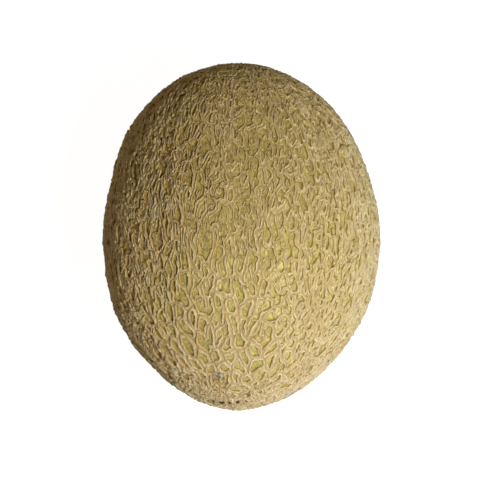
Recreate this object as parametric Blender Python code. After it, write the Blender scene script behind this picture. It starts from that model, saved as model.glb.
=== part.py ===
"""A whole netted cantaloupe melon, lying on its side as it rests on a table.

The fruit is one piece: a corky net stands up out of the rind, so the melon is one solid. The axis of the
fruit runs along Y, with the stem end at +Y and the blossom end at -Y. It stands on a small flat spot in the
plane Z = 0, and the centre of its box is over the origin. Units are metres.

The net is made the way a net divides a surface: seed points are spread over a sphere, the sphere is divided
into one cell round each seed, and the cells are laid on the body of the melon. The sides of the cells are
the crests of the net, and each cell is set down inside its crests to the level of the rind.
"""

import math

import bmesh
import bpy
import numpy as np
from mathutils import Vector, noise

# Driving dimensions of the body, rind to rind
WIDTH = 0.1385  # across, at the waist
LENGTH = 0.1775  # stem end to blossom end
NOSE = 0.13  # share by which the blossom end is drawn in
NOSE_START = 0.3  # where the drawing in begins, as a share of half the length
STEM_SQUARENESS = 0.013  # share by which the shoulder at the stem end is squarer than an ellipse
STEM_LEAN = 0.0014  # how far the stem end leans to -X
NOSE_BEND = 0.0018  # how far the tip of the blossom end turns to -X

# Lobes: ten shallow sutures from end to end, and soft unevenness between them
LOBES = 10
SUTURE_DEPTH = 0.0006
SUTURE_SHARPNESS = 6
UNEVENNESS = 0.0008
UNEVEN_SCALE = 1.7  # bumps for each unit of the sphere of directions

# The two ends
STEM_DISH_RADIUS = 0.017  # the shallow basin that the stem stood in
STEM_DISH_DEPTH = 0.0022
BLOSSOM_RADIUS = 0.008  # the low button that the flower left
BLOSSOM_HEIGHT = 0.0006

# The net, drawn larger than life: about twice the mesh of a real one
CELLS = 620
CELL_STRETCH = 1.3  # cells are longer along the fruit at the waist, and smaller at the ends
SEED_WANDER = 0.42  # how far a seed is nudged, as a share of the spacing
SEED_RANDOM = 7
WARP = 0.045  # how far the net wanders, for a sphere of radius 1
WARP_SCALE = 4.0
NOISE_SEED = 3  # above 0, for 0 stands for the time of day
THREAD_HALF_WIDTH = 0.0014
NET_HEIGHT = 0.0012
MOST_INSET = 0.8  # a cell keeps at least a fifth of its way to the middle as rind

# The flat spot that the fruit rests on
FLAT_DEPTH = 0.0007  # how much of the rind's lowest point is flat, beside the net that stands out of it

GOLDEN_ANGLE = math.pi * (3 - math.sqrt(5))
UP = Vector((0.0, 0.0, 1.0))


def unit(vectors):
    """The vectors at length 1."""
    return vectors / np.linalg.norm(vectors, axis=-1, keepdims=True)


def soft_step(low, high, value):
    """0 below low, 1 above high, and a smooth rise between them."""
    t = np.clip((value - low) / (high - low), 0.0, 1.0)
    return t * t * (3 - 2 * t)


def noise_at(points, offset):
    """Blender's smooth noise at each point, about -1 to 1."""
    return np.array([noise.noise(Vector(p) + offset) for p in points])


def noise_vectors_at(points):
    """Blender's smooth noise for each axis. Its places come from a seed, or they would differ in every run."""
    noise.seed_set(NOISE_SEED)
    return np.array([noise.noise_vector(Vector(p)) for p in points])


def body_at(directions):
    """The rind's surface in each direction from the middle of the fruit, as points."""
    along = directions[:, 1]
    round_the_axis = np.hypot(directions[:, 0], directions[:, 2])
    turn = np.arctan2(directions[:, 0], directions[:, 2])
    nose = 1 - NOSE * np.clip((-along - NOSE_START) / (1 - NOSE_START), 0, 1) ** 2
    shoulder = 1 - STEM_SQUARENESS * soft_step(0, 0.3, along) * np.sin(2 * math.pi * along)
    suture = (0.5 + 0.5 * np.cos(LOBES * turn)) ** SUTURE_SHARPNESS
    radius = WIDTH / 2 * round_the_axis * nose * shoulder
    radius -= SUTURE_DEPTH * suture * round_the_axis
    radius += UNEVENNESS * round_the_axis * noise_at(directions * UNEVEN_SCALE, Vector((3, 1, 4)))
    height = LENGTH / 2 * along
    height -= STEM_DISH_DEPTH * soft_step(STEM_DISH_RADIUS, 0, radius) * (along > 0)
    height -= BLOSSOM_HEIGHT * soft_step(BLOSSOM_RADIUS, 0, radius) * (along < 0)
    sideways = -STEM_LEAN * soft_step(0, 1.0, along) - NOSE_BEND * soft_step(0.88, 1.0, -along)
    sine, cosine = np.sin(turn), np.cos(turn)
    return np.stack([radius * sine + sideways, height, radius * cosine], axis=1)


def outward_at(directions, step=0.01):
    """The surface's outward normal in each direction, from two short steps along the surface."""
    poleward = np.cross(directions, np.array([0.31, 0.21, 0.93]))
    first = unit(poleward)
    second = unit(np.cross(directions, first))
    across = body_at(unit(directions + first * step)) - body_at(unit(directions - first * step))
    over = body_at(unit(directions + second * step)) - body_at(unit(directions - second * step))
    return unit(np.cross(across, over))


def seeds():
    """Directions spread evenly on a golden-angle spiral round Y, each nudged at random."""
    count = np.arange(CELLS) + 0.5
    along = 1 - 2 * count / CELLS
    off_axis = np.sqrt(1 - along**2)
    turn = count * GOLDEN_ANGLE
    even = np.stack([off_axis * np.cos(turn), along, off_axis * np.sin(turn)], axis=1)
    spacing = math.sqrt(4 * math.pi / CELLS)
    nudge = np.random.default_rng(SEED_RANDOM).uniform(-1, 1, even.shape)
    return unit(even + nudge * SEED_WANDER * spacing)


def divide_sphere(points):
    """Divides the sphere into one cell round each point. Returns the corners, and each cell's loop of them.

    The hull of points on a sphere joins each point to its neighbours with triangles, and the corner that
    three cells share lies straight out from the middle of their triangle, along its normal.
    """
    mesh = bmesh.new()
    for point in points:
        mesh.verts.new(point)
    bmesh.ops.convex_hull(mesh, input=mesh.verts)
    bmesh.ops.triangulate(mesh, faces=mesh.faces)
    mesh.faces.ensure_lookup_table()
    mesh.verts.index_update()
    mesh.faces.index_update()
    corners = np.array([face.normal for face in mesh.faces])
    facing_out = np.einsum("ij,ij->i", corners, [face.calc_center_median() for face in mesh.faces])
    corners *= np.sign(facing_out)[:, None]
    cells = [loop_round(vertex) for vertex in mesh.verts]
    mesh.free()
    return unit(corners), cells


def loop_round(vertex):
    """The faces round a vertex in order, anticlockwise as seen from outside."""
    centre = vertex.co.normalized()
    first = centre.orthogonal()
    second = centre.cross(first)
    middles = [(face.calc_center_median() - vertex.co, face.index) for face in vertex.link_faces]
    ordered = sorted(middles, key=lambda pair: math.atan2(pair[0].dot(second), pair[0].dot(first)))
    return [index for _, index in ordered]


def wander(directions):
    """Lets the net drift a little over the sphere, and stretches its cells along the fruit."""
    drifted = unit(directions + WARP * noise_vectors_at(directions * WARP_SCALE))
    drifted[:, 1] *= CELL_STRETCH
    return unit(drifted)


def ways_in(corners, centre, outward):
    """How far each corner goes towards the centre, as a share, to be half a thread clear of every side."""
    sides = np.roll(corners, -1, axis=0) - corners
    inward = unit(np.cross(outward, sides))
    centre_clear = np.einsum("ij,ij->i", centre - corners, inward)
    corner_clear = np.einsum("ijk,jk->ij", corners[:, None] - corners[None], inward)
    short = THREAD_HALF_WIDTH - corner_clear
    way = np.maximum(centre_clear[None] - corner_clear, 1e-9)
    return np.clip((short / way).max(axis=1), 0.0, MOST_INSET)


def net_mesh():
    """The rind with its net as one closed mesh: crests on the cells' sides, and a floor in each cell."""
    corners, cells = divide_sphere(seeds())
    directions = wander(corners)
    low = body_at(directions)
    outward = outward_at(directions)
    mesh = bmesh.new()
    crests = [mesh.verts.new(point) for point in low + outward * NET_HEIGHT]
    for cell in cells:
        rim = directions[cell]
        middle = unit(rim.mean(axis=0)[None])
        centre = body_at(middle)[0]
        share = ways_in(low[cell], centre, outward_at(middle)[0])
        floor = body_at(unit(rim + (middle - rim) * share[:, None]))
        inner = [mesh.verts.new(point) for point in floor]
        centre = mesh.verts.new(centre)
        for here, ahead in zip(range(len(cell)), [*range(1, len(cell)), 0]):
            slope = (crests[cell[here]], crests[cell[ahead]], inner[ahead], inner[here])
            mesh.faces.new(slope)
            mesh.faces.new((inner[here], inner[ahead], centre))
    bmesh.ops.triangulate(mesh, faces=mesh.faces)
    bmesh.ops.recalc_face_normals(mesh, faces=mesh.faces)
    return mesh


def set_down(mesh):
    """Presses the lowest part flat, and stands the melon on Z = 0 with its box centred over the origin."""
    lowest_rind = min(vertex.co.z for vertex in mesh.verts) + NET_HEIGHT
    floor = lowest_rind + FLAT_DEPTH
    across = [vertex.co.x for vertex in mesh.verts]
    along = [vertex.co.y for vertex in mesh.verts]
    centre = Vector(((min(across) + max(across)) / 2, (min(along) + max(along)) / 2, floor))
    for vertex in mesh.verts:
        vertex.co.z = max(vertex.co.z, floor)
        vertex.co -= centre


def rind_material():
    """Tan cork over a yellow-green rind, seen from a step away as one straw colour."""
    material = bpy.data.materials.new("netted_rind")
    material.use_nodes = True
    shader = material.node_tree.nodes["Principled BSDF"]
    shader.inputs["Base Color"].default_value = (0.50, 0.38, 0.18, 1.0)
    shader.inputs["Roughness"].default_value = 0.72
    shader.inputs["Metallic"].default_value = 0.0
    return material


def clear_scene():
    for item in list(bpy.data.objects):
        bpy.data.objects.remove(item)


def main():
    clear_scene()
    fruit = bpy.data.collections.new("cantaloupe_melon")
    bpy.context.scene.collection.children.link(fruit)
    shape = net_mesh()
    set_down(shape)
    data = bpy.data.meshes.new("melon")
    shape.to_mesh(data)
    shape.free()
    data.materials.append(rind_material())
    fruit.objects.link(bpy.data.objects.new("melon", data))


main()
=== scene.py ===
"""Looks for a whole netted cantaloupe melon, laid on its side on a pale table.

The solid carries a coarse net. Here the same body is dressed with a rind and a fine net of cork threads,
each with a groove along its middle and a ridge on either side. The net is a division of the sphere into
cells. Every cell gets rings of points that follow its boundary from the groove, over the ridge and down to
the foot of the thread, and what is left inside the last ring is bare rind.
"""

import math

import bmesh
import bpy
import numpy as np
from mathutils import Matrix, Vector, kdtree, noise

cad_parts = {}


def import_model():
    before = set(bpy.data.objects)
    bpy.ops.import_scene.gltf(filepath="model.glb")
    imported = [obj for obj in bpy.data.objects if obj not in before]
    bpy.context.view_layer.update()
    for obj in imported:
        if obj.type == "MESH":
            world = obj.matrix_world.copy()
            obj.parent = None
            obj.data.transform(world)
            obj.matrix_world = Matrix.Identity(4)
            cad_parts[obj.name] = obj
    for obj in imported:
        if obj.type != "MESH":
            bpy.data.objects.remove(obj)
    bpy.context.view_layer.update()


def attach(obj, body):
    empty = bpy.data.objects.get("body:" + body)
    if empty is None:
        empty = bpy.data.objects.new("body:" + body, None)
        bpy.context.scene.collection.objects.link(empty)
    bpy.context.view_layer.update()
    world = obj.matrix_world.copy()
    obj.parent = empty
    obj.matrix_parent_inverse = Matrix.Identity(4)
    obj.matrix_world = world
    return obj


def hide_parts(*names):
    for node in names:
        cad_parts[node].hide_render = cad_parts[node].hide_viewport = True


MM = 0.001

# The body, as in the solid
WIDTH = 138.5 * MM  # across, at the waist
LENGTH = 177.5 * MM  # stem end to blossom end
NOSE = 0.13  # share by which the blossom end is drawn in
NOSE_START = 0.3
STEM_SQUARENESS = 0.013
SHOULDER_START = 0.3
STEM_LEAN = 1.4 * MM
NOSE_BEND = 1.8 * MM
NOSE_BEND_START = 0.88
LOBES = 10
SUTURE_DEPTH = 0.6 * MM
SUTURE_SHARPNESS = 6
UNEVENNESS = 0.8 * MM
UNEVEN_SCALE = 1.7
STEM_DISH_RADIUS = 17 * MM
STEM_DISH_DEPTH = 2.2 * MM
BLOSSOM_RADIUS = 8 * MM
BLOSSOM_HEIGHT = 0.6 * MM
AXIS_HEIGHT = 68.4 * MM  # of the fruit's middle over the table

# The division into cells. Places are on a sphere of radius 1: X to the right, Y towards the stem, Z up.
# A pair of places is where something starts and where it is in full force.
CELL_WIDTH = 2.5 * MM
CELL_STRETCH = 2.3  # how much longer than wide a cell is at the waist
BLOSSOM_EASE = 0.45  # and how much less so towards the blossom
BLOSSOM_EASE_AT = (0.0, -0.5)
END_WIDENING = 1.7  # above 1, cells widen towards the ends, where they are no longer drawn out
WARP = 0.045
WARP_SCALE = 4.0
NOISE_SEED = 3  # as in the solid; above 0, for 0 stands for the time of day
SEED_RANDOM = 7
SEED_TRIES = 55000
SEED_ROOM = (0.6, 1.15)  # the least and the most room that a seed keeps round it, in widths of a cell there
GOLDEN_ANGLE = math.pi * (3 - math.sqrt(5))

# Where cells are wider or narrower
SIZE_VARIATION = 0.30
BROAD_VARIATION_SCALE = 3.1
CLOSE_VARIATION_SCALE = 9.0
OPEN_PATCH = 1.2  # how much wider they are short of the blossom end, but not on the right
OPEN_PATCH_START = (0.15, 0.65)  # towards the blossom
OPEN_PATCH_END = (0.95, 0.85)
OPEN_PATCH_RIGHT_EDGE = (0.6, 0.0)
RIGHT_NARROWING = 0.12
RIGHT_AT = (0.2, 0.6)
LEFT_NARROWING = 0.30
LEFT_AT = (-0.35, -0.75)
UNDERSIDE_WIDENING = 0.9
UNDERSIDE_AT = (-0.2, -0.6)

# The cells of the solid's own net, whose sides carry the strongest threads
TRACTS = 620
TRACT_STRETCH = 1.3
TRACT_WANDER = 0.42

# The long threads that follow the sutures near the stem
SUTURE_OFFSET = -0.06  # their turn from the sutures of the solid
SUTURE_SWAY = 0.03
SUTURE_START = (0.2, 0.55)  # radians from the waist
SUTURE_TOP = 1.15
SUTURE_STEP = 0.085
SUTURE_JITTER_UP = 0.01
SUTURE_JITTER_ROUND = 0.002

# How wide and high the threads are
STRONG_HALF_WIDTH = 1.22 * MM
FINE_HALF_WIDTH = 1.00 * MM
STRONG_HEIGHT = 1.35 * MM
FINE_HEIGHT = 1.15 * MM
STRONG_STRENGTH = (0.9, 1.15)  # the weakest and the strongest thread's share of that height
FINE_STRENGTH = (0.5, 1.2)
CROSSWISE_WIDTH = 0.82  # the share that a thread across the fruit has, and what one along it has more
LENGTHWISE_WIDTH = 0.23
CROSSWISE_HEIGHT = 0.75
LENGTHWISE_HEIGHT = 0.3
SUTURE_WIDTH = 1.25
WIDTH_BY_ROOM = 0.6  # power of the cells' width there
HEIGHT_BY_ROOM = 0.15
LEFT_RAISE = 0.35  # how much higher the threads stand on the left
LEFT_RAISE_START = (-0.2, -0.5)
LEFT_RAISE_END = (-1.0, -0.8)
CORNER_SOFTNESS = 0.15 * MM  # how gently threads run into each other

# Gaps. Each share of the fine threads holds the shares below it.
STOPPING_SHORT = 0.42
STARTING_LATE = 0.27
FREE_AT_BOTH_ENDS = 0.12
MISSING = 0.04
STOP_RANGE = (0.45, 0.75)  # where along its side such a thread stops
FREE_ENDS = (0.12, 0.88)
FAR = 9.0  # a place well beyond either end of a side
TAPER = 1.6 * MM  # how slowly a thread that ends in the open narrows
GAP_WIDTHS = 1.6  # how many half widths further from the groove a point in a gap counts

# The points of the net
STATION_STEP = 0.74 * MM  # spacing of points along a thread
UNDERSIDE_STEP = 1.8 * MM  # the same below the fruit, out of sight
UNDERSIDE_FROM = -0.55 * WIDTH / 2  # height from the axis
RINGS = (0.28, 0.56, 0.84, 1.10)  # across a thread, in half widths from its groove
RING_LIMITS = (0.34, 0.58, 0.74, 0.86)  # the furthest each ring goes towards the middle of its cell
PROFILE_AT = (0.0, *RINGS)
PROFILE = (0.36, 0.48, 1.0, 0.32, 0.0)
WIDEST_ACROSS = 1.2  # the most that a point tells its material about its place across a thread
SAMPLES_IN = 30  # places looked at on each way in from the rim of a cell
LEAST_STEP = 0.10 * MM  # between one ring and the next
FOOT = -1.0  # stands in for the height of a point at a thread's foot
SINK = 0.25 * MM  # how far the foot of a thread runs under the rind
SINK_FROM = 0.10 * MM  # threads lower than this sink in by degrees

# Unevenness of the threads: how much, and how long a lump or a wave is
THREAD_LUMPS = ((0.25, 1.7 * MM, (5, 5, 1)), (0.22, 0.9 * MM, (1, 5, 9)))
WRIGGLES = ((1.2 * MM, 6.0 * MM), (0.85 * MM, 2.8 * MM), (0.36 * MM, 1.4 * MM))
WIDTH_VARIATION = 0.16
WIDTH_VARIATION_SCALE = 22
END_SPREAD = 0.15  # how much wider the threads are at both ends
END_SPREAD_AT = (0.80, 0.95)
FUSED_SPREAD = 0.4  # and at the blossom's scar, where they run together
FUSED_AT = (0.93, 0.975)  # towards the blossom
PALE_AT = (0.30, 0.95)  # the cork turns paler there, also towards the blossom

# Marks: a row of pits at the blossom end, one weathered patch and a few dark specks
SOFT_EDGE = 0.6  # share of a mark's radius where its full strength starts
PIT_SIZES = (0.7, 1.25, 0.95, 0.9, 0.5)
PIT_ROW_LEFT = -0.195  # where the row starts, and how far above the middle
PIT_ROW_RISE = 0.105
PIT_ROW_SLOPE = 0.28
PIT_SPACING = 0.066
PIT_LENGTH = 1.5 * MM
PIT_WIDTH = 2.6 * MM
PIT_FLOOR = 0.15 * MM
BLEMISH_PLACE = (-21, -62.5)  # turn from the top and rise from the waist, in degrees
BLEMISH_RADIUS = 5.5 * MM
BLEMISH_SQUEEZE = (0.8, 1.3, 1.3)
BLEMISH_RAGGEDNESS = 0.3
BLEMISH_RAG_SCALE = 20
SPECKS = 120
SPECK_RADIUS = 0.55 * MM
SPECK_EDGE = 0.4
SPECK_RANDOM = 12

# The net's pieces and the rind under it
SIDES = 6
END_CUT = 0.93  # where the round pieces at the ends begin
MAP_MARGIN = 0.005  # round the map that materials are baked to
RIND_COLUMNS = 380
RIND_ROWS = 216
RIND_DOME = 0.20 * MM  # how much higher the skin is in the open than by a thread
RIND_DOME_AT = (0.1, 0.9)  # from the side of a cell, in its widths
RIND_LUMPS = 0.10 * MM
RIND_LUMP_LENGTH = 2.5 * MM
RIND_CLEARANCE = 0.05 * MM  # over the table
RIND_RANDOM = 31

# The stem's scar
SCAR_RADIUS = 7.5 * MM
SCAR_AT = (0.0, 0.45, 0.62, 0.76, 0.88, 1.0)
SCAR_PROFILE = (1.0 * MM, 0.8 * MM, 0.9 * MM, 1.7 * MM, 1.2 * MM, -0.4 * MM)
SCAR_RINGS = 34
SCAR_COLUMNS = 120
SCAR_LUMP_LENGTH = 1.6 * MM
SCAR_GRAIN_LENGTH = 0.6 * MM
SCAR_LUMP_SHARE = 0.35  # heights of the lumps and the grain, in millimetres
SCAR_GRAIN_SHARE = 0.2
SCAR_SMOOTH_RIM = (1.0, 0.85)  # shares of its radius where the lumps fade out

# The camera
CAMERA_ELEVATION = math.radians(75)
CAMERA_DISTANCE = 0.9
CAMERA_LENS = 84.5
CAMERA_SENSOR = 23.0
CAMERA_TARGET = (-0.7 * MM, -1.6 * MM, 69 * MM)

# The lights: name, turn to the right and rise in degrees, size, power and colour
LIGHT_TARGET = (0, 0, 70 * MM)
LIGHT_DISTANCE = 1.22
LIGHTS = (
    ("key", 20, -10, 0.25, 11.9, (1.0, 0.965, 0.77)),
    ("side", 75, -10, 0.4, 2.6, (1.0, 0.97, 1.0)),
    ("low_side", 60, -35, 0.4, 5.1, (0.82, 0.91, 1.0)),
    ("low", 0, -60, 0.4, 1.3, (1.0, 0.90, 0.70)),
    ("fill", -50, 0, 0.4, 0.6, (1.0, 0.58, 0.14)),
    ("rim", -85, 0, 0.3, 1.0, (1.0, 0.84, 0.66)),
    ("top", 0, 70, 0.4, 0.5, (1.0, 0.70, 0.18)),
    ("back", -105, 43, 0.3, 2.0, (1.0, 0.88, 0.60)),
    ("back_right", 105, 43, 0.3, 0.8, (1.0, 0.88, 0.60)),
)

# The room
WORLD_COLOUR = (1.0, 0.60, 0.20, 1)
WORLD_STRENGTH = 0.03
FLOOR_HALF = 3.0
FLOOR_COLOUR = (0.30, 0.29, 0.27, 1)
FLOOR_GLOW = 0.96
WHITE = (1, 1, 1, 1)


def unit(vectors):
    """The vectors at length 1."""
    return vectors / np.linalg.norm(vectors, axis=-1, keepdims=True)


def soft_step(low, high, value):
    """0 below low, 1 above high, and a smooth rise between them."""
    t = np.clip((value - low) / (high - low), 0.0, 1.0)
    return t * t * (3 - 2 * t)


def noise_at(points, offset):
    """Blender's smooth noise at each point, about -1 to 1. The offset says where in it they stand."""
    shifted = points + np.array(offset)
    return np.array([noise.noise(p) for p in map(Vector, shifted.tolist())])


def noise_vectors_at(points):
    """Blender's smooth noise for each axis, from places that a seed fixes."""
    noise.seed_set(NOISE_SEED)
    return np.array([noise.noise_vector(p) for p in map(Vector, points.tolist())])


def direction_at(turn, up):
    """Directions from their turn round the fruit's axis and their rise from the waist to the stem."""
    return np.stack([np.cos(up) * np.sin(turn), np.sin(up), np.cos(up) * np.cos(turn)], axis=-1)


def body_at(directions):
    """The rind's surface in each direction from the middle of the fruit, as points."""
    along = directions[:, 1]
    round_the_axis = np.hypot(directions[:, 0], directions[:, 2])
    turn = np.arctan2(directions[:, 0], directions[:, 2])
    nose = 1 - NOSE * np.clip((-along - NOSE_START) / (1 - NOSE_START), 0, 1) ** 2
    shoulder = 1 - STEM_SQUARENESS * soft_step(0, SHOULDER_START, along) * np.sin(2 * math.pi * along)
    suture = (0.5 + 0.5 * np.cos(LOBES * turn)) ** SUTURE_SHARPNESS
    radius = WIDTH / 2 * round_the_axis * nose * shoulder
    radius -= SUTURE_DEPTH * suture * round_the_axis
    radius += UNEVENNESS * round_the_axis * noise_at(directions * UNEVEN_SCALE, (3, 1, 4))
    height = LENGTH / 2 * along
    height -= STEM_DISH_DEPTH * soft_step(STEM_DISH_RADIUS, 0, radius) * (along > 0)
    height -= BLOSSOM_HEIGHT * soft_step(BLOSSOM_RADIUS, 0, radius) * (along < 0)
    sideways = -STEM_LEAN * soft_step(0, 1.0, along)
    sideways -= NOSE_BEND * soft_step(NOSE_BEND_START, 1.0, -along)
    sine, cosine = np.sin(turn), np.cos(turn)
    return np.stack([radius * sine + sideways, height, radius * cosine], axis=1)


def outward_at(directions):
    """Near enough the surface's outward normal in each direction: that of a plain ellipsoid."""
    return unit(directions / np.array([WIDTH, LENGTH, WIDTH]))


def wander(directions):
    """Lets the net drift a little over the sphere, and stretches its cells along the fruit."""
    drifted = unit(directions + WARP * noise_vectors_at(directions * WARP_SCALE))
    drifted[:, 1] *= stretch_at(drifted)
    return unit(drifted)


def stretch_at(directions):
    """How much longer than wide the cells are, by where they stand before they are stretched."""
    return CELL_STRETCH - BLOSSOM_EASE * soft_step(*BLOSSOM_EASE_AT, directions[:, 1])


def unwander(directions, stretch):
    """The places that the same drift and a stretch take near the given directions."""
    squeezed = directions.copy()
    squeezed[:, 1] /= stretch
    squeezed = unit(squeezed)
    return unit(squeezed - WARP * noise_vectors_at(squeezed * WARP_SCALE))


def wriggle(directions):
    """Small sideways waves in the threads."""
    moved = directions.copy()
    for size, length in WRIGGLES:
        moved += noise_vectors_at(directions * (WIDTH / 2 / length)) * (size / (WIDTH / 2))
    return unit(moved)


def cell_width(directions):
    """How wide the cells are in each direction on the fruit."""
    to_the_right, along, up = directions.T
    width = 1 + SIZE_VARIATION * noise_at(directions * BROAD_VARIATION_SCALE, (8, 2, 5))
    width += SIZE_VARIATION * noise_at(directions * CLOSE_VARIATION_SCALE, (2, 9, 4))
    in_patch = soft_step(*OPEN_PATCH_START, -along) * soft_step(*OPEN_PATCH_END, -along)
    in_patch *= soft_step(*OPEN_PATCH_RIGHT_EDGE, to_the_right)
    width *= 1 + OPEN_PATCH * in_patch
    narrowing = RIGHT_NARROWING * soft_step(*RIGHT_AT, to_the_right)
    width *= 1 - narrowing - LEFT_NARROWING * soft_step(*LEFT_AT, to_the_right)
    width *= 1 + UNDERSIDE_WIDENING * soft_step(*UNDERSIDE_AT, up)
    return CELL_WIDTH * width


def suture_seeds(random):
    """Pairs of seeds astride each suture near the stem, for one long thread along it, and their sides."""
    places = []
    sides = []
    for lobe in range(LOBES):
        sway = random.uniform(-SUTURE_SWAY, SUTURE_SWAY)
        turn = 2 * math.pi * lobe / LOBES + SUTURE_OFFSET + sway
        heights = np.arange(random.uniform(*SUTURE_START), SUTURE_TOP, SUTURE_STEP)
        for side in (-1, 1):
            up = heights + random.uniform(-SUTURE_JITTER_UP, SUTURE_JITTER_UP, len(heights))
            jitter = random.uniform(-SUTURE_JITTER_ROUND, SUTURE_JITTER_ROUND, len(up))
            places.append(direction_at(turn + side * CELL_WIDTH / WIDTH / np.cos(up) + jitter, up))
            sides += [side * (lobe + 1)] * len(up)
    return unwander(np.vstack(places), CELL_STRETCH), sides


def scatter_seeds(random):
    """A seed for each cell, no nearer the others than cells are wide there, and its side of a suture."""
    kept, sides = suture_seeds(random)
    tries = unit(random.normal(size=(SEED_TRIES, 3)))
    places = wander(tries)
    narrowing = np.sqrt(1 - places[:, 1] ** 2 * (1 - 1 / stretch_at(tries) ** 2))
    room = cell_width(places) / (WIDTH / 2 * narrowing**END_WIDENING)
    room *= random.uniform(*SEED_ROOM, SEED_TRIES)
    for seed, space in zip(tries, room):
        if (np.linalg.norm(kept - seed, axis=1) > space).all():
            kept = np.vstack([kept, seed])
            sides.append(0)
    return kept, np.array(sides)


def tract_of(seeds):
    """The cell of the solid's own net in which each seed lies."""
    count = np.arange(TRACTS) + 0.5
    along = 1 - 2 * count / TRACTS
    off_axis = np.sqrt(1 - along**2)
    turn = count * GOLDEN_ANGLE
    even = np.stack([off_axis * np.cos(turn), along, off_axis * np.sin(turn)], axis=1)
    spacing = math.sqrt(4 * math.pi / TRACTS)
    nudge = np.random.default_rng(SEED_RANDOM).uniform(-1, 1, even.shape)
    tree = tree_of(unit(even + nudge * TRACT_WANDER * spacing))
    return np.array([tree.find(place)[1] for place in unwander(wander(seeds), TRACT_STRETCH)])


def tree_of(points):
    """A search tree for the nearest of some points."""
    tree = kdtree.KDTree(len(points))
    for index, point in enumerate(points):
        tree.insert(point, index)
    tree.balance()
    return tree


def divide_sphere(points):
    """Divides the sphere into one cell round each point: the corners, and each cell's loop of them.

    The hull of points on a sphere joins each point to its neighbours with triangles, and the corner that
    three cells share lies straight out from their triangle. The triangles come in no fixed order, so they
    are numbered by the points that they join.
    """
    mesh = bmesh.new()
    for point in points:
        mesh.verts.new(point)
    bmesh.ops.convex_hull(mesh, input=mesh.verts)
    bmesh.ops.triangulate(mesh, faces=mesh.faces)
    mesh.verts.index_update()
    faces = sorted(mesh.faces, key=lambda face: sorted(vertex.index for vertex in face.verts))
    for number, face in enumerate(faces):
        face.index = number
    corners = np.array([face.normal for face in faces])
    middles = np.array([face.calc_center_median() for face in faces])
    corners *= np.sign(np.einsum("ij,ij->i", corners, middles))[:, None]
    cells = [loop_round(vertex) for vertex in mesh.verts]
    mesh.free()
    return unit(corners), cells


def loop_round(vertex):
    """The faces round a vertex in order, anticlockwise as seen from outside."""
    centre = vertex.co.normalized()
    first = centre.orthogonal()
    second = centre.cross(first)
    middles = [(face.calc_center_median() - vertex.co, face.index) for face in vertex.link_faces]
    ordered = sorted(middles, key=lambda pair: math.atan2(pair[0].dot(second), pair[0].dot(first)))
    return [index for _, index in ordered]


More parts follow.
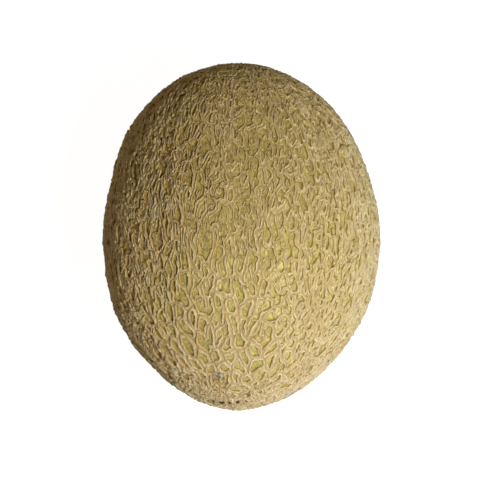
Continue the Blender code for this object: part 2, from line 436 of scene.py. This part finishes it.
class Threads:
    """The sides of the cells: where each runs, how wide and high its thread is, and its gap, if any."""

    def __init__(self, corners, cells, tract, sides, random):
        owners = {}
        for cell, loop in enumerate(cells):
            for a, b in zip(loop, loop[1:] + loop[:1]):
                owners.setdefault((min(a, b), max(a, b)), []).append(cell)
        self.number = {key: number for number, key in enumerate(owners)}
        self.ends = np.array(list(owners))
        self.at_corner = {}
        for number, (a, b) in enumerate(self.ends):
            self.at_corner.setdefault(a, []).append(number)
            self.at_corner.setdefault(b, []).append(number)
        first, second = np.array(list(owners.values())).T
        self.suture = (sides[first] == -sides[second]) & (sides[first] != 0)
        self.strong = self.suture | (tract[first] != tract[second])
        places = wander(corners)
        self.points = body_at(places)
        ways = self.points[self.ends[:, 1]] - self.points[self.ends[:, 0]]
        self.length = np.maximum(np.linalg.norm(ways, axis=1), 1e-6)
        middles = unit(places[self.ends[:, 0]] + places[self.ends[:, 1]])
        self.set_sizes(middles, np.abs(ways[:, 1]) / self.length, random)
        self.tone = np.where(self.suture, 1.0, random.uniform(0, 1, len(owners)) ** 2)
        self.presence = self.gaps(random)

    def set_sizes(self, middles, lengthwise, random):
        """Half widths and heights, by a thread's rank, its course and the size of the cells there."""
        strong_ones = random.uniform(*STRONG_STRENGTH, len(middles))
        fine_ones = random.uniform(*FINE_STRENGTH, len(middles))
        strength = np.where(self.strong, strong_ones, fine_ones)
        room = cell_width(middles) / CELL_WIDTH
        self.half_width = np.where(self.strong, STRONG_HALF_WIDTH, FINE_HALF_WIDTH)
        self.half_width *= strength**0.5 * (CROSSWISE_WIDTH + LENGTHWISE_WIDTH * lengthwise)
        self.half_width *= np.where(self.suture, SUTURE_WIDTH, 1.0)
        self.half_width *= room**WIDTH_BY_ROOM
        self.height = np.where(self.strong, STRONG_HEIGHT, FINE_HEIGHT) * strength
        self.height *= room**HEIGHT_BY_ROOM * (CROSSWISE_HEIGHT + LENGTHWISE_HEIGHT * lengthwise)
        raised = LEFT_RAISE * soft_step(*LEFT_RAISE_START, middles[:, 0])
        self.height *= 1 + raised * soft_step(*LEFT_RAISE_END, middles[:, 0])

    def gaps(self, random):
        """The stretch of each side that carries a thread, in shares of its length: all of a strong one."""
        count = len(self.ends)
        kind = np.where(self.strong, 1.0, random.uniform(0, 1, count))
        stop = random.uniform(*STOP_RANGE, count)
        late = np.stack([1 - stop, np.full(count, FAR)], axis=1)
        presence = np.tile((-FAR, FAR), (count, 1))
        presence[kind < STOPPING_SHORT, 1] = stop[kind < STOPPING_SHORT]
        presence[kind < STARTING_LATE] = late[kind < STARTING_LATE]
        presence[kind < FREE_AT_BOTH_ENDS] = FREE_ENDS
        presence[kind < MISSING] = (FAR, FAR)
        return presence

    def stations(self, number):
        """How many points stand on a side between its two corners."""
        below = self.points[self.ends[number, 0], 2] < UNDERSIDE_FROM
        step = UNDERSIDE_STEP if below else STATION_STEP
        return max(int(round(self.length[number] / step)) - 1, 0)

    def near_cell(self, loop):
        """The sides of a cell, and the sides that lead away from its corners."""
        return sorted({number for corner in loop for number in self.at_corner[corner]})

    def across(self, points, near):
        """How far points are from the nearest grooves, in half widths, and the height and tone there."""
        start = self.points[self.ends[near, 0]]
        side = self.points[self.ends[near, 1]] - start
        length = self.length[near]
        offset = points[..., None, :] - start
        share = np.clip(np.einsum("...ij,ij->...i", offset, side) / length**2, 0, 1)
        distance = np.linalg.norm(offset - share[..., None] * side, axis=-1)
        taper = TAPER / length
        begin, stop = self.presence[near].T
        here = soft_step(begin, begin + taper, share) * soft_step(stop, stop - taper, share)
        half_width = self.half_width[near]
        distance = distance + (1 - here) * half_width * GAP_WIDTHS
        weight = np.exp(-distance / CORNER_SOFTNESS)
        total = weight.sum(axis=-1)
        weight /= total[..., None]
        soft_distance = -CORNER_SOFTNESS * np.log(total)
        return soft_distance / (weight @ half_width), weight @ self.height[near], weight @ self.tone[near]


def lay_stations(threads, corners):
    """Points along every side of the net, and the number of the first one on each."""
    rows = [corners]
    first_station = []
    count = len(corners)
    for number, (a, b) in enumerate(threads.ends):
        first_station.append(count)
        steps = threads.stations(number)
        share = (np.arange(steps) + 1) / (steps + 1)
        rows.append(corners[a] + (corners[b] - corners[a]) * share[:, None])
        count += steps
    return wander(unit(np.vstack(rows))), first_station


def rim_round(loop, threads, first_station):
    """The points round a cell, corners and stations, in order."""
    rim = []
    for a, b in zip(loop, loop[1:] + loop[:1]):
        number = threads.number[(min(a, b), max(a, b))]
        between = list(range(first_station[number], first_station[number] + threads.stations(number)))
        rim += [a] + (between if a < b else between[::-1])
    return np.array(rim)


def aims_of(rim_directions):
    """Where the ways in from a cell's rim lead: its middle, or the middle line of a long cell."""
    middle = unit(rim_directions.mean(axis=0))
    offset = rim_directions - middle
    spread, axes = np.linalg.eigh(offset.T @ offset)
    slimness = 1 - math.sqrt(max(spread[1], 0.0) / spread[2])
    along = offset @ axes[:, 2]
    return unit(middle + np.outer(along * slimness, axes[:, 2]))


def ring_shares(across, reach):
    """How far in, as a share of each way, every ring of points lies."""
    samples = np.linspace(0, RING_LIMITS[-1], SAMPLES_IN)
    rising = np.maximum.accumulate(across, axis=0)
    columns = np.arange(across.shape[1])
    least = LEAST_STEP / reach
    behind = np.zeros(len(columns))
    shares = []
    for target, limit in zip(RINGS, RING_LIMITS):
        after = (rising >= target).argmax(axis=0)
        before = np.maximum(after - 1, 0)
        low, high = rising[before, columns], rising[after, columns]
        part = np.clip((target - low) / np.maximum(high - low, 1e-9), 0, 1)
        share = samples[before] + (samples[after] - samples[before]) * part
        share = np.where(rising[-1] >= target, np.minimum(share, limit), limit)
        behind = np.maximum(share, behind + least)
        shares.append(behind)
    return shares


def sampled(table, share):
    """Reads each column of a table of samples at its own share of the way in."""
    place = np.clip(share / RING_LIMITS[-1], 0, 1) * (SAMPLES_IN - 1)
    low = np.minimum(place.astype(int), SAMPLES_IN - 2)
    columns = np.arange(table.shape[1])
    return table[low, columns] + (table[low + 1, columns] - table[low, columns]) * (place - low)


def spread_width(directions):
    """How much wider the threads are in each direction: they run together at the blossom end."""
    along = directions[:, 1]
    wide = 1 + WIDTH_VARIATION * noise_at(directions * WIDTH_VARIATION_SCALE, (1, 7, 3))
    wide += END_SPREAD * soft_step(*END_SPREAD_AT, np.abs(along))
    wide += FUSED_SPREAD * soft_step(*FUSED_AT, -along)
    return wide


def build_net(random):
    """Every point and face of the net, with the cell that each face belongs to."""
    seeds, sides = scatter_seeds(random)
    corners, cells = divide_sphere(seeds)
    threads = Threads(corners, cells, tract_of(seeds), sides, random)
    rim_directions, first_station = lay_stations(threads, corners)
    rim_points = body_at(rim_directions)
    rim_width = spread_width(rim_directions)
    count = len(rim_directions)
    directions = [rim_directions]
    rim_values = np.zeros((3, count))  # height, across and tone, summed over the cells at each point
    rim_cells = np.zeros(count)
    values = [rim_values]
    faces = []
    face_cells = []
    ways_in = np.linspace(0, RING_LIMITS[-1], SAMPLES_IN)[:, None, None]
    for cell, loop in enumerate(cells):
        rim = rim_round(loop, threads, first_station)
        near = threads.near_cell(loop)
        aims = aims_of(rim_directions[rim])
        inward = body_at(aims) - rim_points[rim]
        across, height, tone = threads.across(rim_points[rim] + inward * ways_in, near)
        across /= rim_width[rim]
        rim_values[:, rim] += (profile(across[0]) * height[0], np.maximum(across[0], 0), tone[0])
        rim_cells[rim] += 1
        previous = rim
        for share in ring_shares(across, np.linalg.norm(inward, axis=1)):
            directions.append(unit(rim_directions[rim] + (aims - rim_directions[rim]) * share[:, None]))
            at = sampled(across, share)
            values.append(np.stack([profile(at) * sampled(height, share), at, sampled(tone, share)]))
            here = np.arange(count, count + len(rim))
            count += len(rim)
            faces.append(np.stack([previous, np.roll(previous, -1), np.roll(here, -1), here], axis=1))
            previous = here
        values[-1][0] = FOOT
        values[-1][1] = np.maximum(values[-1][1], RINGS[-1])
        face_cells += [cell] * len(rim) * len(RINGS)
    rim_values /= rim_cells
    height, across, tone = np.hstack(values)
    return {
        "directions": np.vstack(directions),
        "heights": height,
        "across": np.clip(across, 0, WIDEST_ACROSS),
        "tone": tone,
        "faces": np.vstack(faces),
        "face_cells": np.array(face_cells),
        "middles": wander(seeds),
        "seeds": seeds,
    }


def profile(across):
    """The height of a thread across its width, as a share of its full height."""
    return np.interp(across, PROFILE_AT, PROFILE)


def place_net(net):
    """Turns the net's directions and heights into points on the fruit."""
    directions = wriggle(net["directions"])
    lumps = 1
    for share, length, offset in THREAD_LUMPS:
        lumps = lumps + share * noise_at(directions * (WIDTH / 2 / length), offset)
    heights = net["heights"] * lumps
    sunk = soft_step(SINK_FROM, 0.0, heights)
    heights = np.where(net["heights"] < 0, -SINK, heights - SINK * sunk)
    heights -= (heights - PIT_FLOOR).clip(0) * pits_at(directions)
    return body_at(directions) + outward_at(directions) * heights[:, None], directions


def pits_at(directions):
    """How deep in one of the row of dark pits at the blossom end each direction is, from 0 to 1."""
    deepest = np.zeros(len(directions))
    blossom_half = directions[:, 1] < 0
    for index, size in enumerate(PIT_SIZES):
        beyond_first = PIT_SPACING * index
        from_left = (directions[:, 0] - PIT_ROW_LEFT - beyond_first) * WIDTH / 2
        above = (directions[:, 2] - PIT_ROW_RISE - PIT_ROW_SLOPE * beyond_first) * WIDTH / 2
        inside = np.hypot(from_left / (PIT_LENGTH * size), above / (PIT_WIDTH * size))
        deepest = np.maximum(deepest, soft_step(1.0, SOFT_EDGE, inside) * blossom_half)
    return deepest


def blemish_at(directions):
    """How strongly each direction lies in the small weathered patch, from 0 to 1."""
    offset = (directions - direction_at(*np.radians(BLEMISH_PLACE))) * np.array(BLEMISH_SQUEEZE)
    away = np.linalg.norm(offset, axis=1) * WIDTH / 2
    away *= 1 + BLEMISH_RAGGEDNESS * noise_at(directions * BLEMISH_RAG_SCALE, (4, 4, 8))
    return soft_step(BLEMISH_RADIUS, BLEMISH_RADIUS * SOFT_EDGE, away)


def specks_at(directions):
    """How dark each direction is from one of a few small specks, from 0 to 1."""
    random = np.random.default_rng(SPECK_RANDOM)
    tree = tree_of(unit(random.normal(size=(SPECKS, 3))))
    away = np.array([tree.find(place)[2] for place in directions]) * WIDTH / 2
    return soft_step(SPECK_RADIUS, SPECK_RADIUS * SPECK_EDGE, away)


def mesh_object(name, points, faces, values, material):
    """A smooth mesh object, with named values on its points."""
    mesh = bpy.data.meshes.new(name)
    mesh.from_pydata(points.tolist(), [], faces)
    mesh.shade_smooth()
    for key, value in values.items():
        layer = mesh.attributes.new(key, "FLOAT", "POINT")
        layer.data.foreach_set("value", value.astype(np.float32))
    mesh.materials.append(material)
    piece = bpy.data.objects.new(name, mesh)
    bpy.context.scene.collection.objects.link(piece)
    return piece


def corner_points(mesh):
    """The number of the point at every corner of every face."""
    corners = np.zeros(len(mesh.loops), dtype=np.int32)
    mesh.loops.foreach_get("vertex_index", corners)
    return corners


def add_bake_map(mesh, places):
    """The map that the materials are baked to: a place for every corner of every face."""
    layer = mesh.uv_layers.new(name="OFBake")
    layer.data.foreach_set("uv", places.astype(np.float32).ravel())


def flat_map(directions, middle_turn):
    """A map of a strip of the fruit: turn round the axis across, and the way from end to end up."""
    turn = np.arctan2(directions[:, 0], directions[:, 2]) - middle_turn
    turn = (turn + math.pi) % (2 * math.pi) - math.pi
    up = np.arcsin(np.clip(directions[:, 1], -1, 1))
    return np.stack([turn, up], axis=1)


def fit_map(places):
    """A map stretched to fill the square, but for a thin margin."""
    low, high = places.min(axis=0), places.max(axis=0)
    return MAP_MARGIN + (1 - 2 * MAP_MARGIN) * (places - low) / (high - low)


def make_net_pieces(net, points, directions, material):
    """The net in strips from end to end, and one round piece at each end."""
    paling = soft_step(*PALE_AT, -directions[:, 1])
    values = {
        "across": net["across"],
        "tone": net["tone"] + (1 - net["tone"]) * paling,
        # dark: the specks, and near-black painted shade in the pits
        "dark": np.maximum(pits_at(directions), specks_at(directions)),
        "blemish": blemish_at(directions),
        "relief": net["heights"].clip(0) / FINE_HEIGHT,
    }
    middles = net["middles"]
    turn = np.arctan2(middles[:, 0], middles[:, 2])
    strip = np.floor((turn + math.pi) / (2 * math.pi) * SIDES).astype(int) % SIDES
    group = np.where(middles[:, 1] > END_CUT, SIDES, strip)
    group = np.where(middles[:, 1] < -END_CUT, SIDES + 1, group)
    names = [f"net_side_{side + 1}" for side in range(SIDES)] + ["net_stem_end", "net_blossom_end"]
    for index, name in enumerate(names):
        faces = net["faces"][group[net["face_cells"]] == index]
        used, compact = np.unique(faces, return_inverse=True)
        own_faces = compact.reshape(faces.shape).tolist()
        own_values = {key: value[used] for key, value in values.items()}
        if index < SIDES:
            places = flat_map(directions[used], (index + 0.5) / SIDES * 2 * math.pi - math.pi)
        else:
            places = directions[used][:, [0, 2]]
        piece = mesh_object(name, points[used], own_faces, own_values, material)
        add_bake_map(piece.data, fit_map(places)[corner_points(piece.data)])
        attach(piece, "root")


def ring_faces(rings, columns):
    """For points laid ring by ring: their numbers, the same one step round, and the faces between."""
    index = np.arange(rings * columns).reshape(rings, columns)
    ahead = np.roll(index, -1, axis=1)
    faces = np.stack([index[:-1], ahead[:-1], ahead[1:], index[1:]], -1).reshape(-1, 4)
    return index.tolist(), ahead.tolist(), faces.tolist()


def dome_grid(columns, rows):
    """Directions all over a sphere in rings round the fruit's axis, and the turn and rise of each."""
    turn = np.linspace(0, 2 * math.pi, columns, endpoint=False)
    up = np.linspace(-math.pi / 2, math.pi / 2, rows + 1)[1:-1]
    turn, up = (grid.ravel() for grid in np.meshgrid(turn, up))
    turn = np.append(turn, (0, 0))
    up = np.append(up, (-math.pi / 2, math.pi / 2))
    return direction_at(turn, up), turn, up


def dome_faces(columns, rows):
    """The faces of that grid, with a fan at each end."""
    index, ahead, faces = ring_faces(rows - 1, columns)
    first_end = (rows - 1) * columns
    faces += [[first_end, b, a] for a, b in zip(index[0], ahead[0])]
    faces += [[first_end + 1, a, b] for a, b in zip(index[-1], ahead[-1])]
    return faces


def wrap_map(mesh, turn, up, columns):
    """A map all round the fruit, mended in the faces where it closes."""
    places = np.stack([turn / (2 * math.pi), up / math.pi + 0.5], axis=1)[corner_points(mesh)]
    totals = np.zeros(len(mesh.polygons), dtype=np.int32)
    mesh.polygons.foreach_get("loop_total", totals)
    face_of = np.repeat(np.arange(len(totals)), totals)
    furthest = np.zeros(len(totals))
    np.maximum.at(furthest, face_of, places[:, 0])
    closing = (furthest[face_of] > 0.75) & (places[:, 0] < 0.25)
    places[closing, 0] += 1
    places[:, 0] /= 1 + 1 / columns
    return places


def make_rind(seeds, material, shift):
    """The bare skin under the net, slightly domed in every cell."""
    start, turn, up = dome_grid(RIND_COLUMNS, RIND_ROWS)
    tree = tree_of(seeds)
    near = [tree.find_n(place, 2) for place in start]
    owner = np.array([pair[0][1] for pair in near])
    open_ground = np.array([pair[1][2] - pair[0][2] for pair in near]) * WIDTH / 2 / CELL_WIDTH
    directions = wriggle(wander(start))
    height = RIND_DOME * soft_step(*RIND_DOME_AT, open_ground)
    height += RIND_LUMPS * noise_at(directions * (WIDTH / 2 / RIND_LUMP_LENGTH), (3, 8, 8))
    points = body_at(directions) + outward_at(directions) * height[:, None] + shift
    points[:, 2] = np.maximum(points[:, 2], RIND_CLEARANCE)
    values = {
        "tone": np.random.default_rng(RIND_RANDOM).uniform(0, 1, len(seeds))[owner],
        "open_ground": open_ground,
        "blemish": blemish_at(directions),
        "fused": soft_step(*FUSED_AT, -directions[:, 1]),
        # dark: near-black painted shade in the pits
        "dark": pits_at(directions),
    }
    piece = mesh_object("rind", points, dome_faces(RIND_COLUMNS, RIND_ROWS), values, material)
    add_bake_map(piece.data, wrap_map(piece.data, turn, up, RIND_COLUMNS))
    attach(piece, "root")
    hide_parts("melon")


def make_stem_scar(material, shift):
    """The round corky scar that the stem slipped from, in its shallow dish."""
    share = np.repeat(np.linspace(1, 0, SCAR_RINGS, endpoint=False), SCAR_COLUMNS)
    turn = np.tile(np.linspace(0, 2 * math.pi, SCAR_COLUMNS, endpoint=False), SCAR_RINGS)
    share, turn = np.append(share, 0), np.append(turn, 0)
    away = SCAR_RADIUS / (WIDTH / 2) * share
    outer = np.sin(away)
    directions = np.stack([outer * np.sin(turn), np.cos(away), outer * np.cos(turn)], axis=1)
    height = np.interp(share, SCAR_AT, SCAR_PROFILE)
    lumps = SCAR_LUMP_SHARE * noise_at(directions * (WIDTH / 2 / SCAR_LUMP_LENGTH), (7, 0, 2))
    lumps += SCAR_GRAIN_SHARE * noise_at(directions * (WIDTH / 2 / SCAR_GRAIN_LENGTH), (7, 0, 2))
    height = height + lumps * MM * soft_step(*SCAR_SMOOTH_RIM, share)
    points = body_at(directions) + np.outer(height, (0, 1, 0)) + shift
    index, ahead, faces = ring_faces(SCAR_RINGS, SCAR_COLUMNS)
    faces += [[a, b, len(share) - 1] for a, b in zip(index[-1], ahead[-1])]
    piece = mesh_object("stem_scar", points, faces, {}, material)
    add_bake_map(piece.data, fit_map(directions[:, [0, 2]])[corner_points(piece.data)])
    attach(piece, "root")


def new_material(name):
    """A new material, its node tree and its shader."""
    material = bpy.data.materials.new(name)
    material.use_nodes = True
    tree = material.node_tree
    return material, tree, tree.nodes["Principled BSDF"]


def add_node(tree, kind, **settings):
    """A node of some kind, with its settings."""
    node = tree.nodes.new(kind)
    for key, value in settings.items():
        setattr(node, key, value)
    return node


def noise_node(tree, place, scale, detail=3.0, roughness=0.55):
    """A noise texture at a place, with its scale for each metre."""
    node = add_node(tree, "ShaderNodeTexNoise")
    node.inputs["Scale"].default_value = scale
    node.inputs["Detail"].default_value = detail
    node.inputs["Roughness"].default_value = roughness
    tree.links.new(place, node.inputs["Vector"])
    return node.outputs["Fac"]


def ramp_node(tree, value, stops):
    """Colours by a value, from stops of a position and a colour."""
    node = add_node(tree, "ShaderNodeValToRGB")
    ramp = node.color_ramp
    while len(ramp.elements) < len(stops):
        ramp.elements.new(0.5)
    for element, (position, colour) in zip(ramp.elements, stops):
        element.position = position
        element.color = (*colour, 1)
    tree.links.new(value, node.inputs["Fac"])
    return node.outputs["Color"]


def mix_node(tree, factor, first, second, blend="MIX"):
    """Two colours mixed by a factor. Each of the three is a value or a node's output."""
    node = add_node(tree, "ShaderNodeMix", data_type="RGBA", blend_type=blend)
    for socket, value in ((node.inputs[0], factor), (node.inputs[6], first), (node.inputs[7], second)):
        if isinstance(value, bpy.types.NodeSocket):
            tree.links.new(value, socket)
        else:
            socket.default_value = value if not isinstance(value, tuple) else (*value, 1)
    return node.outputs[2]


def map_range(tree, value, low, high, to_low=0.0, to_high=1.0):
    """A value moved from one range to another, and kept inside it."""
    node = add_node(tree, "ShaderNodeMapRange")
    for key, number in (("From Min", low), ("From Max", high), ("To Min", to_low), ("To Max", to_high)):
        node.inputs[key].default_value = number
    tree.links.new(value, node.inputs["Value"])
    return node.outputs["Result"]


def math_node(tree, operation, first, second):
    """Two values joined by an operation."""
    node = add_node(tree, "ShaderNodeMath", operation=operation)
    tree.links.new(first, node.inputs[0])
    tree.links.new(second, node.inputs[1])
    return node.outputs[0]


def bump_node(tree, shader, height, strength, distance):
    """Fine relief on a shader, from a height."""
    node = add_node(tree, "ShaderNodeBump")
    node.inputs["Strength"].default_value = strength
    node.inputs["Distance"].default_value = distance
    tree.links.new(height, node.inputs["Height"])
    tree.links.new(node.outputs["Normal"], shader.inputs["Normal"])


def value_node(tree, name):
    """A named value of the mesh's points."""
    return add_node(tree, "ShaderNodeAttribute", attribute_name=name).outputs["Fac"]


def drawn_out(tree, place):
    """The same place, for textures that run along the fruit."""
    node = add_node(tree, "ShaderNodeMapping")
    node.inputs["Scale"].default_value = (1, 0.35, 1)
    tree.links.new(place, node.inputs["Vector"])
    return node.outputs[0]


def cork_material():
    """Dry tan cork: pale on the ridges, brightened there by a painted highlight, pinkish in the groove, and
    brown at the foot from painted shade.
    """
    material, tree, shader = new_material("net_cork")
    place = add_node(tree, "ShaderNodeTexCoord").outputs["Object"]
    # From the groove over the ridge to the foot: the pale crest is partly the cork's own colour and partly
    # a painted highlight, and the dark brown at the foot is painted shade in the crease against the rind
    across = map_range(tree, value_node(tree, "across"), 0.0, WIDEST_ACROSS)
    colour = ramp_node(tree, across, (
        (0.00, (0.60, 0.46, 0.21)),
        (0.28, (0.68, 0.54, 0.28)),
        (0.46, (1.00, 0.89, 0.64)),
        (0.59, (0.68, 0.54, 0.23)),
        (0.73, (0.36, 0.21, 0.015)),
    ))
    low = map_range(tree, value_node(tree, "relief"), 0.7, 0.1, 0.0, 0.45)
    colour = mix_node(tree, low, colour, (0.60, 0.46, 0.15))
    # The pinker cork, with the same painted highlight on the crest and painted shade at the foot
    pink = ramp_node(tree, across, (
        (0.10, (0.64, 0.48, 0.32)),
        (0.46, (0.98, 0.83, 0.64)),
        (0.60, (0.70, 0.54, 0.30)),
        (0.74, (0.34, 0.20, 0.04)),
    ))
    pinkness = map_range(tree, value_node(tree, "tone"), 0.3, 1.0, 0.0, 0.55)
    colour = mix_node(tree, pinkness, colour, pink)
    # Brown patches, stains low on the threads, and grain along the fruit
    patches = map_range(tree, noise_node(tree, place, 60, 3), 0.5, 0.72, 0.0, 0.35)
    colour = mix_node(tree, patches, colour, (0.56, 0.38, 0.14))
    stain = map_range(tree, noise_node(tree, place, 95, 3), 0.58, 0.70)
    outer = map_range(tree, across, 0.5, 0.8)
    colour = mix_node(tree, math_node(tree, "MULTIPLY", stain, outer), colour, (0.52, 0.33, 0.10))
    grain = noise_node(tree, drawn_out(tree, place), 1300, 4, 0.7)
    shade = ramp_node(tree, grain, ((0.3, (0.62, 0.57, 0.46)), (0.7, (1.20, 1.20, 1.24))))
    colour = mix_node(tree, 0.9, colour, shade, "MULTIPLY")
    # The weathered patch, grey with amber in it, and the dark marks: real dark specks, and near-black
    # painted shade in the shallow pits
    grey = ramp_node(tree, noise_node(tree, place, 900, 3), (
        (0.38, (0.10, 0.10, 0.07)),
        (0.48, (0.46, 0.44, 0.34)),
        (0.60, (0.72, 0.66, 0.50)),
    ))
    amber = map_range(tree, noise_node(tree, place, 210, 1), 0.48, 0.55)
    grey = mix_node(tree, amber, grey, (0.74, 0.46, 0.08))
    colour = mix_node(tree, value_node(tree, "blemish"), colour, grey)
    colour = mix_node(tree, value_node(tree, "dark"), colour, (0.035, 0.022, 0.012))
    tree.links.new(colour, shader.inputs["Base Color"])
    shader.inputs["Roughness"].default_value = 0.85
    bump_node(tree, shader, grain, 1.0, 1.1 * MM)
    return material


def rind_material():
    """Yellow-green skin, a little different in each cell, with a soft sheen."""
    material, tree, shader = new_material("green_rind")
    place = add_node(tree, "ShaderNodeTexCoord").outputs["Object"]
    colour = ramp_node(tree, value_node(tree, "tone"), (
        (0.0, (0.55, 0.48, 0.12)),
        (0.3, (0.64, 0.55, 0.19)),
        (0.7, (0.69, 0.58, 0.24)),
        (1.0, (0.70, 0.57, 0.25)),
    ))
    patches = map_range(tree, noise_node(tree, place, 30, 2), 0.4, 0.65, 0.0, 0.5)
    colour = mix_node(tree, patches, colour, (0.54, 0.50, 0.17))
    # Streaks and pale veins along the fruit
    streaks = noise_node(tree, drawn_out(tree, place), 900, 3, 0.6)
    shade = ramp_node(tree, streaks, ((0.3, (0.72, 0.67, 0.52)), (0.7, (1.18, 1.18, 1.24))))
    colour = mix_node(tree, 1.0, colour, shade, "MULTIPLY")
    veins = ramp_node(tree, noise_node(tree, drawn_out(tree, place), 620, 3, 0.6), (
        (0.43, (0.0, 0.0, 0.0)),
        (0.49, (1.0, 1.0, 1.0)),
        (0.51, (1.0, 1.0, 1.0)),
        (0.57, (0.0, 0.0, 0.0)),
    ))
    colour = mix_node(tree, math_node(tree, "MULTIPLY", veins, streaks), colour, (0.92, 0.79, 0.48))
    # Painted shade: the skin darkens to olive-brown beside the threads, in the creases at their feet. Then
    # the marks
    thread_foot_shade = map_range(tree, value_node(tree, "open_ground"), 0.3, 0.7, 0.6, 0.0)
    colour = mix_node(tree, thread_foot_shade, colour, (0.44, 0.33, 0.08))
    colour = mix_node(tree, value_node(tree, "blemish"), colour, (0.66, 0.36, 0.06))
    colour = mix_node(tree, value_node(tree, "fused"), colour, (0.30, 0.18, 0.05))
    # Near-black painted shade in the pits
    colour = mix_node(tree, value_node(tree, "dark"), colour, (0.03, 0.02, 0.01))
    tree.links.new(colour, shader.inputs["Base Color"])
    shader.inputs["Roughness"].default_value = 0.5
    bump_node(tree, shader, math_node(tree, "ADD", veins, streaks), 1.0, 0.5 * MM)
    return material


def scar_material():
    """The fibrous, darker cork of the stem's scar."""
    material, tree, shader = new_material("stem_scar")
    place = add_node(tree, "ShaderNodeTexCoord").outputs["Object"]
    colour = ramp_node(tree, noise_node(tree, place, 900, 5, 0.7), (
        (0.30, (0.20, 0.13, 0.06)),
        (0.55, (0.42, 0.31, 0.17)),
        (0.80, (0.60, 0.48, 0.29)),
    ))
    tree.links.new(colour, shader.inputs["Base Color"])
    shader.inputs["Roughness"].default_value = 0.9
    bump_node(tree, shader, noise_node(tree, place, 1300, 5, 0.7), 0.8, 0.4 * MM)
    return material


def camera_frame():
    """The camera's directions to its right, up its picture and back from what it looks at."""
    up = Vector((0, math.sin(CAMERA_ELEVATION), math.cos(CAMERA_ELEVATION)))
    back = Vector((0, -math.cos(CAMERA_ELEVATION), math.sin(CAMERA_ELEVATION)))
    return Vector((1, 0, 0)), up, back


def make_camera():
    """The camera looks down on the fruit, with the blossom end at the bottom of its picture."""
    data = bpy.data.cameras.new("camera")
    data.lens = CAMERA_LENS
    data.sensor_width = CAMERA_SENSOR
    camera = bpy.data.objects.new("camera", data)
    bpy.context.scene.collection.objects.link(camera)
    _, _, back = camera_frame()
    camera.location = Vector(CAMERA_TARGET) + back * CAMERA_DISTANCE
    camera.rotation_euler = (math.pi / 2 - CAMERA_ELEVATION, 0, 0)
    bpy.context.scene.camera = camera


def seen_directly(tree, light, seen, output):
    """Shows the camera one shader, and lets the other one act on everything else."""
    switch = add_node(tree, "ShaderNodeMixShader")
    tree.links.new(add_node(tree, "ShaderNodeLightPath").outputs["Is Camera Ray"], switch.inputs[0])
    tree.links.new(light.outputs[0], switch.inputs[1])
    tree.links.new(seen.outputs[0], switch.inputs[2])
    tree.links.new(switch.outputs[0], tree.nodes[output].inputs["Surface"])


def studio_light(name, turn, rise, size, power, colour):
    """A round light, placed by its turn to the right of the camera and its rise above it."""
    turn, rise = math.radians(turn), math.radians(rise)
    right, up, back = camera_frame()
    towards_light = right * math.cos(rise) * math.sin(turn) + up * math.sin(rise)
    towards_light += back * math.cos(rise) * math.cos(turn)
    data = bpy.data.lights.new(name, "AREA")
    data.shape = "DISK"
    data.size = size
    data.energy = power
    data.color = colour
    light = bpy.data.objects.new(name, data)
    light.location = Vector(LIGHT_TARGET) + towards_light * LIGHT_DISTANCE
    light.rotation_euler = towards_light.to_track_quat("Z", "Y").to_euler()
    bpy.context.scene.collection.objects.link(light)


def make_world():
    """Seen directly it is white; as light it is a dim warm fill."""
    world = bpy.data.worlds.new("studio")
    bpy.context.scene.world = world
    world.use_nodes = True
    tree = world.node_tree
    light = tree.nodes["Background"]
    light.inputs["Color"].default_value = WORLD_COLOUR
    light.inputs["Strength"].default_value = WORLD_STRENGTH
    seen = add_node(tree, "ShaderNodeBackground")
    seen.inputs["Color"].default_value = WHITE
    seen.inputs["Strength"].default_value = 1.0
    seen_directly(tree, light, seen, "World Output")


def make_floor():
    """A pale table: nearly white with a faint shadow to the camera, and it throws little light back."""
    mesh = bpy.data.meshes.new("floor")
    half = FLOOR_HALF
    corners = [(-half, -half, 0), (half, -half, 0), (half, half, 0), (-half, half, 0)]
    mesh.from_pydata(corners, [], [(0, 1, 2, 3)])
    floor = bpy.data.objects.new("floor", mesh)
    bpy.context.scene.collection.objects.link(floor)
    material, tree, shader = new_material("floor")
    shader.inputs["Base Color"].default_value = FLOOR_COLOUR
    shader.inputs["Roughness"].default_value = 0.9
    glow = add_node(tree, "ShaderNodeEmission")
    glow.inputs["Color"].default_value = WHITE
    glow.inputs["Strength"].default_value = FLOOR_GLOW
    seen = add_node(tree, "ShaderNodeAddShader")
    tree.links.new(shader.outputs[0], seen.inputs[0])
    tree.links.new(glow.outputs[0], seen.inputs[1])
    seen_directly(tree, shader, seen, "Material Output")
    mesh.materials.append(material)


def main():
    """Dresses the fruit, and sets up the camera, the lights, the world and the floor."""
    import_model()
    net = build_net(np.random.default_rng(SEED_RANDOM))
    points, directions = place_net(net)
    middle = (points.min(axis=0) + points.max(axis=0)) / 2
    shift = np.array([-middle[0], -middle[1], AXIS_HEIGHT])
    points += shift
    points[:, 2] = np.maximum(points[:, 2], 0.0)
    make_net_pieces(net, points, directions, cork_material())
    make_rind(net["seeds"], rind_material(), shift)
    make_stem_scar(scar_material(), shift)
    make_camera()
    for light in LIGHTS:
        studio_light(*light)
    make_world()
    make_floor()
    bpy.context.scene.view_settings.view_transform = "Standard"


main()
